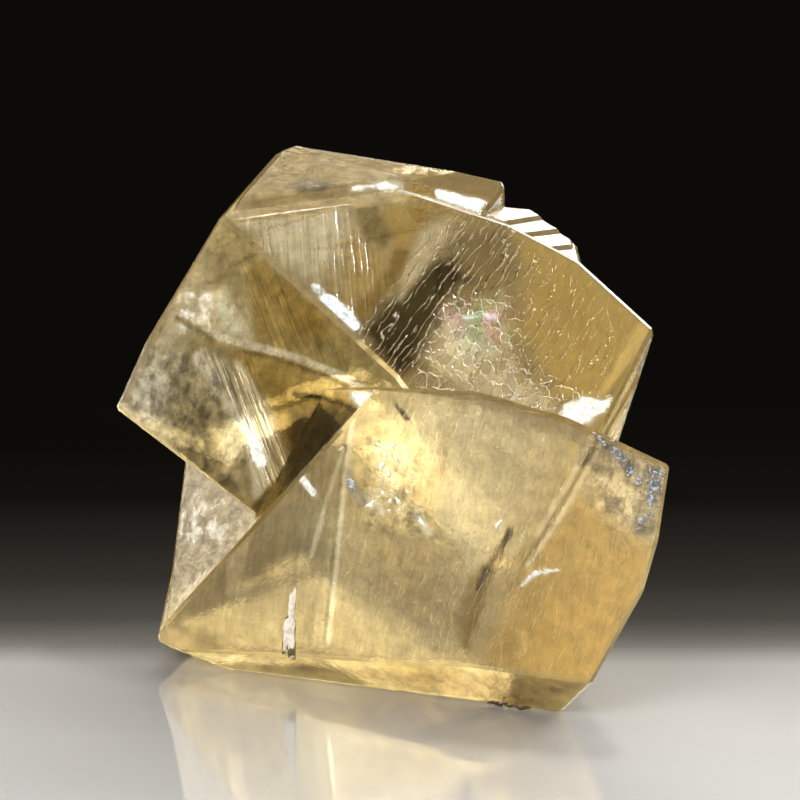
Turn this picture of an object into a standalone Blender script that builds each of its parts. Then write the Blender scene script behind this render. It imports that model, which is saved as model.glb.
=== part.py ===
"""Twinned calcite: two see-through crystals that grew into each other, as one solid.

Each crystal is a stack of convex blocks. A block is a blank that is sliced once for each of its
flat faces, and a face is given the way a mineralogist would give it: which way it looks, and how
far it lies from the middle of its crystal. A thin chamfer takes the sharpness off every edge, as
on a natural crystal. The blocks are then joined by Boolean unions, growth steps stand proud of
some faces, and a stair of cleavage cells is broken out of the upper crystal's hidden back corner.

The specimen stands on the flat underside of its lower crystal, front face towards -Y.
"""
import math

import bmesh
import bpy
from mathutils import Matrix, Vector

MM = 0.001

# Middle of each crystal, in mm, over the surface that the specimen stands on
LOWER_MIDDLE = Vector((2.0, 14.0, 15.0))
UPPER_MIDDLE = Vector((0.0, 22.0, 36.0))

BLANK_SIZE = 200.0      # edge of the cube that each block is sliced from, mm
CHAMFER_WIDTH = 0.5     # width of the flat along every edge, mm
INSET = 0.3             # how far a block keeps inside the faces of the block it grows from, mm
INSET_STEP = 0.06       # added to that for each further block, so that no two faces coincide, mm

# Faces as (azimuth, elevation, distance): degrees, degrees and mm from the crystal's middle.
# Azimuth 0 looks to the front, 90 to the right, -90 to the left and 180 to the back.
LOWER_FACES = {
    "front": (-27.0, 2.0, 8.5),
    "front_right": (-22.0, -1.0, 9.9),
    "front_bevel": (-23.0, -37.0, 13.6),
    "upper_left": (-49.0, 20.0, 13.2),
    "left_end": (-105.5, 0.5, 26.8),
    "top_left": (163.5, 69.5, 14.8),
    "top_middle": (134.5, 64.0, 15.8),
    "top_right": (122.0, 58.5, 17.5),
    "right_high": (104.5, -6.0, 18.2),
    "right_middle": (101.5, -12.5, 18.5),
    "right_low": (98.5, -24.0, 18.4),
    "left_underside": (-106.5, -70.5, 20.8),
    "base": (180.0, -90.0, 15.0),
    "back_left": (-158.0, 4.0, 23.0),
    "back_right": (150.0, -8.0, 18.7),
    "back_bevel": (-176.0, -48.0, 21.5),
    "back_corner": (-124.0, 8.0, 27.5),
}

# The toe at the lower left of the lower crystal reaches past it, under a sloping shoulder
TOE_FACES = {
    "left_end": (-104.0, 8.5, 25.9),
    "left_underside": (-106.5, -70.5, 21.1),
    "shoulder": (-62.0, 66.0, 7.6),
}

UPPER_FACES = {
    "left": (-35.0, 14.5, 10.4),
    "right": (1.5, 53.0, 7.0),
    "right_far": (9.0, 47.5, 8.0),
    "right_side": (74.0, -17.5, 26.0),
    "right_back": (106.5, -14.5, 24.2),
    "underside": (-95.5, -63.5, 22.5),
    "far_left_high": (-105.5, 30.5, 22.5),
    "far_left_low": (-99.0, 24.0, 24.2),
    "back_left": (-165.0, -3.0, 17.0),
    "back_right": (138.0, 2.0, 17.6),
    "back_underside": (-172.0, -46.0, 20.5),
    "root": (0.0, -80.0, 24.0),
    "top": (-2.5, 63.5, 9.2),
    "slope_high": (133.0, 62.0, 15.0),
    "slope_middle": (120.0, 54.5, 16.1),
    "slope_low": (109.0, 42.0, 18.9),
}

# Inside the lower crystal the upper one ends just behind that crystal's front faces
SEAT_DEPTH = 0.3

# The block at the top left stands higher than the slopes, behind the same top face
TOP_BLOCK_FACES = {
    "side": (53.0, 0.0, 4.6),
    "side_back": (104.0, 0.0, 13.4),
    "top_back": (161.5, 31.0, 18.0),
    "top_left": (-106.5, 12.0, 20.4),
    "top_corner": (-144.0, 38.0, 25.2),
}

# The cleavage ledge lies in the corner between the top block and the slopes
LEDGE_FACES = {
    "ledge_top": (42.5, 71.0, 11.1),
    "ledge_end": (95.5, -1.5, 19.7),
    "ledge_back": (-167.5, 25.0, 10.8),
    "ledge_corner": (122.0, 16.0, 23.3),
}

# Growth steps: the face they lie on, how far they stand proud in mm, and the sides that bound
# them, each as (heading in the face, distance from the crystal's middle in mm). Heading 0 runs
# level to the right as one looks at the face, and 90 runs up it.
STEP_RISER = 35.0       # lean of a step's riser from upright on its face, degrees
STEP_ROOT = 1.5         # how deep a step is rooted under its face, mm
LEDGE_STEPS = [
    ("ledge_top", 0.3, [(-97.0, 4.7)]),
    ("ledge_top", 0.6, [(-96.0, 2.3)]),
    ("ledge_top", 0.9, [(-93.0, 0.8)]),
]
UPPER_STEPS = [
    ("back_left", 0.5, [(75.0, 7.5), (-20.0, 9.0), (190.0, 15.0)]),
    ("back_left", 0.9, [(82.0, 2.0), (-12.0, 4.5), (184.0, 12.0)]),
    ("back_right", 0.5, [(60.0, 9.0), (172.0, 6.0)]),
    ("right_side", 0.35, [(115.0, 4.0), (10.0, 7.0)]),
]
LOWER_STEPS = [
    ("back_left", 0.6, [(98.0, 8.0), (5.0, 6.0)]),
    ("back_left", 1.0, [(104.0, 3.5), (12.0, 1.5)]),
    ("back_right", 0.5, [(35.0, 5.0), (120.0, 10.0)]),
]

# The broken corner: calcite breaks into leaning rhombs, and here they leave a small stair
CELL_LEAN = 5.0         # how far the cells' walls lean in over the crystal, degrees
CELL_SIZE = 1.5         # height and tread of one cell, mm
CELL_COUNT = 3
STAIR_FOOT = Vector((5.5, 42.0, 38.0))      # outer lower end of the stair, mm
STAIR_HEIGHT = 12.0     # from its foot to past the top of the corner, mm
STAIR_TURN = 15.0       # turn about the vertical that sets it square to the back face, degrees

HONEY = (0.86, 0.71, 0.42, 1.0)
POLISH = 0.12           # roughness of a bright natural face
REFRACTION = 1.658      # calcite's ordinary ray


def looking(azimuth, elevation):
    """Unit vector out of a face that looks this way; azimuth 0 is the front, 90 the right."""
    turn, tilt = math.radians(azimuth), math.radians(elevation)
    return Vector((math.sin(turn) * math.cos(tilt), -math.cos(turn) * math.cos(tilt), math.sin(tilt)))


def face_planes(middle, faces, inset=0.0):
    """Plane of each named face as (unit normal, distance from the world origin in mm)."""
    planes = {}
    for name, (azimuth, elevation, distance) in faces.items():
        normal = looking(azimuth, elevation)
        planes[name] = (normal, normal.dot(middle) + distance - inset)
    return planes


def slice_off(bm, normal, distance):
    """Take away what lies past one plane, and close the cut with a flat face."""
    geometry = bm.verts[:] + bm.edges[:] + bm.faces[:]
    cut = bmesh.ops.bisect_plane(
        bm, geom=geometry, dist=1e-7, plane_co=normal * distance * MM, plane_no=normal, clear_outer=True)
    rim = [item for item in cut["geom_cut"] if isinstance(item, bmesh.types.BMEdge)]
    if rim:
        bmesh.ops.contextual_create(bm, geom=rim)
    bm.normal_update()


def chamfer_planes(bm):
    """One plane for each edge, looking halfway between its two faces, that leaves a narrow flat."""
    planes = []
    for edge in bm.edges:
        first, second = (face.normal for face in edge.link_faces)
        halfway = (first + second).normalized()
        depth = CHAMFER_WIDTH / 2 * math.tan(first.angle(second) / 2)
        middle = (edge.verts[0].co + edge.verts[1].co) / 2 / MM
        planes.append((halfway, halfway.dot(middle) - depth))
    return planes


def block(name, planes):
    """A convex block: a cube sliced by every plane, then chamfered along every edge."""
    bm = bmesh.new()
    bmesh.ops.create_cube(bm, size=BLANK_SIZE * MM)
    for normal, distance in planes.values():
        slice_off(bm, normal, distance)
    for normal, distance in chamfer_planes(bm):
        slice_off(bm, normal, distance)
    bmesh.ops.recalc_face_normals(bm, faces=bm.faces[:])
    mesh = bpy.data.meshes.new(name)
    bm.to_mesh(mesh)
    bm.free()
    return bpy.data.objects.new(name, mesh)


def growth_step(name, middle, faces, step, inset, limits):
    """A thin plate on one face of a block: that face moved out, between its own side planes."""
    face_name, rise, sides = step
    planes = face_planes(middle, faces, inset)
    normal, distance = planes[face_name]
    planes["root"] = (-normal, STEP_ROOT - distance)
    planes.update(limits)
    level = Vector((0, 0, 1)).cross(normal).normalized()
    uphill = normal.cross(level)
    lean = math.radians(STEP_RISER)
    planes[face_name] = (normal, distance + inset + rise)
    for number, (heading, reach) in enumerate(sides):
        along = level * math.cos(math.radians(heading)) + uphill * math.sin(math.radians(heading))
        riser = along * math.cos(lean) + normal * math.sin(lean)
        foot = middle + normal * faces[face_name][2] + along * reach
        planes[f"riser_{number}"] = (riser, riser.dot(foot))
    return block(name, planes)


def cleavage_cell(number):
    """Cutter for one tread of the broken corner: a leaning box, open to above, wider than the last."""
    reach = 2 * CELL_SIZE * (number + 1)
    tread = CELL_SIZE * number
    bm = bmesh.new()
    bmesh.ops.create_cube(bm, size=1.0)
    size = Matrix.Diagonal((reach, reach, STAIR_HEIGHT - tread, 1.0))
    raised = Matrix.Translation((0, 0, (STAIR_HEIGHT + tread) / 2))
    lean = Matrix.Identity(4)
    lean[0][2] = lean[1][2] = -math.tan(math.radians(CELL_LEAN))
    turned = Matrix.Rotation(math.radians(STAIR_TURN), 4, "Z")
    placed = Matrix.Translation(STAIR_FOOT)
    scale = Matrix.Scale(MM, 4)
    bmesh.ops.transform(bm, matrix=scale @ placed @ turned @ lean @ raised @ size, verts=bm.verts[:])
    mesh = bpy.data.meshes.new(f"cleavage_cell_{number}")
    bm.to_mesh(mesh)
    bm.free()
    return bpy.data.objects.new(mesh.name, mesh)


def combine(target, tool, operation):
    """Add one Boolean modifier to the target."""
    modifier = target.modifiers.new(tool.name, "BOOLEAN")
    modifier.operation = operation
    modifier.solver = "EXACT"
    modifier.object = tool


def calcite_material():
    material = bpy.data.materials.new("calcite")
    material.use_nodes = True
    shader = material.node_tree.nodes["Principled BSDF"]
    shader.inputs["Base Color"].default_value = HONEY
    shader.inputs["Roughness"].default_value = POLISH
    shader.inputs["Metallic"].default_value = 0.0
    shader.inputs["IOR"].default_value = REFRACTION
    shader.inputs["Transmission Weight"].default_value = 1.0
    return material


for old in list(bpy.data.objects):
    bpy.data.objects.remove(old, do_unlink=True)

part_collection = bpy.data.collections.new("twinned_calcite")
tool_collection = bpy.data.collections.new("blocks_and_cutters")
for collection in (part_collection, tool_collection):
    bpy.context.scene.collection.children.link(collection)

# The lower crystal is the body that everything else is joined to
lower_planes = face_planes(LOWER_MIDDLE, LOWER_FACES)
crystal = block("twinned_calcite", lower_planes)
crystal.data.materials.append(calcite_material())
part_collection.objects.link(crystal)

# The toe shares the lower crystal's other faces, a little inside them
toe_planes = face_planes(LOWER_MIDDLE, LOWER_FACES, INSET)
toe_planes.update(face_planes(LOWER_MIDDLE, TOE_FACES))

# The upper crystal ends inside the lower one, at a seat behind its front faces
upper_planes = face_planes(UPPER_MIDDLE, UPPER_FACES)
seat = {}
for face_name in ("front", "front_right"):
    normal, distance = lower_planes[face_name]
    seat["seat_" + face_name] = (normal, distance - SEAT_DEPTH)
upper_planes.update(seat)

slopes = ("slope_high", "slope_middle", "slope_low")
faces_but_slopes = {name: face for name, face in UPPER_FACES.items() if name not in slopes}
top_block_planes = face_planes(UPPER_MIDDLE, faces_but_slopes, INSET)
top_block_planes["top"] = face_planes(UPPER_MIDDLE, UPPER_FACES, -INSET)["top"]
ledge_planes = face_planes(UPPER_MIDDLE, faces_but_slopes, INSET + INSET_STEP)
top_block_planes.update(face_planes(UPPER_MIDDLE, TOP_BLOCK_FACES))
ledge_planes.update(face_planes(UPPER_MIDDLE, LEDGE_FACES))

tools = [
    (block("toe", toe_planes), "UNION"),
    (block("upper_crystal", upper_planes), "UNION"),
    (block("top_block", top_block_planes | seat), "UNION"),
    (block("cleavage_ledge", ledge_planes | seat), "UNION"),
]
ledge_faces = faces_but_slopes | LEDGE_FACES
step_groups = [
    ("ledge_step", UPPER_MIDDLE, ledge_faces, LEDGE_STEPS, seat),
    ("upper_step", UPPER_MIDDLE, UPPER_FACES, UPPER_STEPS, seat),
    ("lower_step", LOWER_MIDDLE, LOWER_FACES, LOWER_STEPS, {}),
]
inset = INSET + 2 * INSET_STEP
for group_name, middle, faces, steps, limits in step_groups:
    for number, step in enumerate(steps):
        inset += INSET_STEP
        plate = growth_step(f"{group_name}_{number}", middle, faces, step, inset, limits)
        tools.append((plate, "UNION"))
for number in range(CELL_COUNT):
    tools.append((cleavage_cell(number), "DIFFERENCE"))

for tool, operation in tools:
    tool_collection.objects.link(tool)
    tool.hide_render = True
    tool.display_type = "WIRE"
    combine(crystal, tool, operation)

# The part's origin is under the middle of its box, on the surface that it stands on
bpy.context.view_layer.update()
finished = crystal.evaluated_get(bpy.context.evaluated_depsgraph_get())
corners = [Vector(corner) for corner in finished.bound_box]
low = Vector(min(corner[axis] for corner in corners) for axis in range(3))
high = Vector(max(corner[axis] for corner in corners) for axis in range(3))
origin = bpy.data.objects.new("origin", None)
tool_collection.objects.link(origin)
origin.location = (-(low.x + high.x) / 2, -(low.y + high.y) / 2, -low.z)
crystal.parent = origin
for tool, operation in tools:
    tool.parent = origin
bpy.context.view_layer.update()
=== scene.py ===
"""Twinned calcite: two clear honey-coloured crystals grown through each other, on a pale table.

The crystal's own shape comes from the part's solid. Here its flat faces get the fine growth relief,
etching and haze of real calcite, with the healed cracks inside and the crumbs of rock that cling to it.
"""
import math

import bmesh
import bpy
import numpy as np
from mathutils import Matrix, Vector


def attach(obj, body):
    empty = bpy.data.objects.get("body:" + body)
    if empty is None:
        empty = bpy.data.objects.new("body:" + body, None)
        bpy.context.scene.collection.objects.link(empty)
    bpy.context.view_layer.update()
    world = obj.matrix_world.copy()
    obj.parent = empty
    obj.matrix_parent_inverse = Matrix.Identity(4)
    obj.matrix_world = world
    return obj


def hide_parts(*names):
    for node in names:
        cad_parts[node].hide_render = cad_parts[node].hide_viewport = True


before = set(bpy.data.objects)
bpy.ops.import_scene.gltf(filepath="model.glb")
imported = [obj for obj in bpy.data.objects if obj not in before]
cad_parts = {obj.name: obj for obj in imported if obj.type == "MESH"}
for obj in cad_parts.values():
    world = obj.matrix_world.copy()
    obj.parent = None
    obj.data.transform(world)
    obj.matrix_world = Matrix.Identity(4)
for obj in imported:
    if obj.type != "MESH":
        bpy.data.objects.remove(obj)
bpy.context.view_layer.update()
MM = 0.001

# Camera: level with the table edge and 14 degrees above it, half a metre away, with a long lens.
CAMERA_TARGET = Vector((1.7, -5.1, 31.0)) * MM
CAMERA_HEIGHT_ANGLE = 14.0
CAMERA_DISTANCE = 500.0 * MM
camera_data = bpy.data.cameras.new("camera")
camera_data.lens = 213.75
camera_data.clip_start = 0.01
camera_data.clip_end = 20.0
camera = bpy.data.objects.new("camera", camera_data)
camera_lean = math.radians(CAMERA_HEIGHT_ANGLE)
camera.location = CAMERA_TARGET + CAMERA_DISTANCE * Vector((0, -math.cos(camera_lean), math.sin(camera_lean)))
camera.rotation_euler = (math.radians(90.0 - CAMERA_HEIGHT_ANGLE), 0, 0)
bpy.context.scene.collection.objects.link(camera)
bpy.context.scene.camera = camera


# The crystal body: one piece of calcite, two crystals grown through each other. Its faces are flat
# but not polished: shallow growth hills and terraces cover them, and edges are bruised. It replaces
# the plain solid, as a finer mesh of the same faces with that relief pressed into it.
FINE_GRAIN = 0.50 * MM      # longest triangle side on the faces that look to the front
MIDDLE_GRAIN = 0.80 * MM    # on the faces that only lean that way
COARSE_GRAIN = 1.40 * MM    # and on the faces behind
HILL_HEIGHT = 0.030 * MM
TERRACE_HEIGHT = 0.030 * MM
LOWER_MIDDLE = np.array((3.2, -3.1, 15.0)) * MM
UPPER_MIDDLE = np.array((1.2, 4.9, 36.0)) * MM


def looking(azimuth, elevation):
    """Unit vector that looks this way in degrees; azimuth 0 is the front, 90 the right."""
    turn, tilt = math.radians(azimuth), math.radians(elevation)
    return np.array((math.sin(turn) * math.cos(tilt), -math.cos(turn) * math.cos(tilt), math.sin(tilt)))


def face_axes(normal):
    """The two directions in a face: level to the right as one looks at it, and uphill."""
    level = np.cross((0.0, 0.0, 1.0), normal)
    level /= np.linalg.norm(level)
    return level, np.cross(normal, level)


def welded(node):
    """Corner points and triangles of the node's faces, with the loose triangles joined up."""
    bm = bmesh.new()
    bm.from_mesh(node.data)
    bmesh.ops.remove_doubles(bm, verts=bm.verts[:], dist=2e-6)
    bmesh.ops.dissolve_limit(bm, angle_limit=math.radians(0.05), verts=bm.verts[:], edges=bm.edges[:])
    bmesh.ops.triangulate(bm, faces=bm.faces[:], ngon_method="BEAUTY")
    mesh = bpy.data.meshes.new("welded")
    bm.to_mesh(mesh)
    bm.free()
    corners = np.zeros(len(mesh.vertices) * 3)
    mesh.vertices.foreach_get("co", corners)
    triangles = np.zeros(len(mesh.loops), np.int64)
    mesh.loops.foreach_get("vertex_index", triangles)
    bpy.data.meshes.remove(mesh)
    return corners.reshape(-1, 3), triangles.reshape(-1, 3)


def grain(points, triangles):
    """Longest side that each triangle may keep: finer the more it looks to the front."""
    a, b, c = points[triangles].transpose(1, 0, 2)
    across = np.cross(b - a, c - a)
    across /= np.maximum(np.linalg.norm(across, axis=1), 1e-18)[:, None]
    frontal = across @ looking(0.0, 14.0)
    leaning = np.where(frontal > 0.04, MIDDLE_GRAIN, COARSE_GRAIN)
    return np.where(frontal > 0.6, FINE_GRAIN, leaning)[:, None]


def halve_long_edges(points, triangles):
    """Halve each triangle's long sides until all keep to its grain; it becomes 2, 3 or 4 triangles."""
    while True:
        sides = np.sort(np.stack((triangles, np.roll(triangles, -1, axis=1)), axis=2), axis=2)
        key, which = np.unique(sides[..., 0] * len(points) + sides[..., 1], return_inverse=True)
        which = which.reshape(-1, 3)
        ends = np.stack((key // len(points), key % len(points)), axis=1)
        length = np.linalg.norm(points[ends[:, 0]] - points[ends[:, 1]], axis=1)
        side_length = length[which]
        longest = side_length.max(1, keepdims=True)
        wanted = (side_length > grain(points, triangles)) & (side_length > 0.8 * longest)
        if not wanted.any():
            return points, triangles
        halved = np.unique(which[wanted])
        middle = np.full(len(key), -1)
        middle[halved] = len(points) + np.arange(len(halved))
        points = np.vstack((points, points[ends[halved]].mean(axis=1)))
        middles = middle[which]
        split = middles >= 0
        count = split.sum(1)
        turn = np.where(count == 1, split.argmax(1), np.where(count == 2, ((~split).argmax(1) + 1) % 3, 0))
        order = (turn[:, None] + np.arange(3)) % 3
        corner = np.take_along_axis(triangles, order, 1)
        halfway = np.take_along_axis(middles, order, 1)
        a, b, c = corner[count == 1].T
        d = halfway[count == 1, 0]
        made = [(a, d, c), (d, b, c)]
        a, b, c = corner[count == 2].T
        d, e = halfway[count == 2, :2].T
        made += [(d, b, e), (a, d, e), (a, e, c)]
        a, b, c = corner[count == 3].T
        d, e, f = halfway[count == 3].T
        made += [(a, d, f), (d, b, e), (f, e, c), (d, e, f)]
        triangles = np.vstack([triangles[count == 0]] + [np.stack(three, axis=1) for three in made])


def lattice(points, cell, seed):
    """Smooth value noise, -1 to 1: random values at the corners of cubic cells, blended between."""
    place = points / cell
    base = np.floor(place).astype(np.int64)
    part = place - base
    part = part * part * (3 - 2 * part)
    total = np.zeros(len(points))
    for corner in range(8):
        offset = np.array((corner & 1, corner >> 1 & 1, corner >> 2 & 1))
        key = ((base + offset) * np.array((73856093, 19349663, 83492791))).sum(1) + seed * 2654435761
        key = (key ^ (key >> 13)) * 1274126177 & 0x7FFFFFFF
        value = (key ^ (key >> 16)) % 65536 / 32767.5 - 1
        weight = np.where(offset, part, 1 - part).prod(1)
        total += value * weight
    return total


def crease_distance(points, edges, sharp, steps):
    """Distance over the surface from the nearest sharp edge, passed on from vertex to vertex."""
    length = np.linalg.norm(points[edges[:, 0]] - points[edges[:, 1]], axis=1)
    distance = np.full(len(points), 1.0)
    distance[edges[sharp].ravel()] = 0.0
    for _ in range(steps):
        for a, b in ((0, 1), (1, 0)):
            np.minimum.at(distance, edges[:, a], distance[edges[:, b]] + length)
    return distance


corners, triangles = welded(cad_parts["twinned_calcite"])
points, triangles = halve_long_edges(corners, triangles)
crystal_mesh = bpy.data.meshes.new("crystal")
crystal_mesh.from_pydata(points, [], triangles)
normals = np.zeros(len(points) * 3)
crystal_mesh.vertices.foreach_get("normal", normals)
normals = normals.reshape(-1, 3)
edges = np.zeros(len(crystal_mesh.edges) * 2, np.int64)
crystal_mesh.edges.foreach_get("vertices", edges)
edges = edges.reshape(-1, 2)
bend = np.einsum("ij,ij->i", normals[edges[:, 0]], normals[edges[:, 1]])
off_edge = crease_distance(points, edges, bend < math.cos(math.radians(4.0)), 10)
inland = np.clip(off_edge / (1.6 * MM), 0, 1)
inland = inland * inland * (3 - 2 * inland)

# Growth hills: long low swells, drawn out along the crystal's height, and terraces across them
hills = 0.6 * lattice(points * (1.0, 1.0, 0.45), 4.2 * MM, 3)
hills += 0.4 * lattice(points * (1.0, 1.0, 0.6), 1.7 * MM, 5)
contour = (lattice(points, 7.0 * MM, 8) + 0.35 * lattice(points, 2.6 * MM, 9)) * 3.0
terrace = np.floor(contour) + np.clip((contour - np.floor(contour)) * 5.0, 0, 1)
behind = np.clip(normals @ looking(180.0, -14.0) * 3.0 + 0.4, 0, 1)
relief = (HILL_HEIGHT * hills * (1 + 2.0 * behind) + TERRACE_HEIGHT * (terrace / 3.0)) * inland
relief_points = points - normals * (np.abs(relief) + 0.004 * MM * inland)[:, None]

# What each face shows: tints, haze and etching, and painted light and shade: bright glows and glints and
# dark zones that the crystal shows in places, as marks placed in the face's own two directions,
# in mm from the crystal's middle: first level to the right, then uphill. A patch fills its outline and
# a stroke follows it as a line. A bruise and a scar do the same, and are powdery as well: white powder
# that is crushed calcite in some places and a painted glint in others.
# The palest and whitest tints also serve as painted glows and highlights, and the darkest as painted shade
HONEY = (0.66, 0.60, 0.45)
PALE = (0.93, 0.88, 0.74)
GOLD = (0.68, 0.55, 0.26)
BROWN = (0.42, 0.32, 0.14)
OLIVE = (0.38, 0.34, 0.22)
SMOKE_AND_SHADE = (0.12, 0.10, 0.06)
WHITE = (1.0, 1.0, 0.97)
GREY = (0.45, 0.46, 0.50)
FACES = {    # crystal, azimuth and elevation in degrees, distance and its slack in mm
    "upper_left": (UPPER_MIDDLE, -35.0, 14.5, 10.4, 0.8),
    "upper_right": (UPPER_MIDDLE, 2.0, 52.0, 7.0, 4.0),
    "upper_top": (UPPER_MIDDLE, -2.5, 63.5, 9.4, 0.8),
    "upper_side": (UPPER_MIDDLE, 74.0, -17.5, 26.0, 0.8),
    "ledge": (UPPER_MIDDLE, 42.5, 71.0, 11.6, 0.9),
    "riser": (UPPER_MIDDLE, 53.0, 0.0, 4.6, 0.5),
    "lower_front": (LOWER_MIDDLE, -25.0, 0.5, 8.6, 3.0),
    "lower_bevel": (LOWER_MIDDLE, -23.0, -37.0, 13.6, 0.8),
    "lower_left": (LOWER_MIDDLE, -49.0, 20.0, 13.2, 0.8),
}
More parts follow.
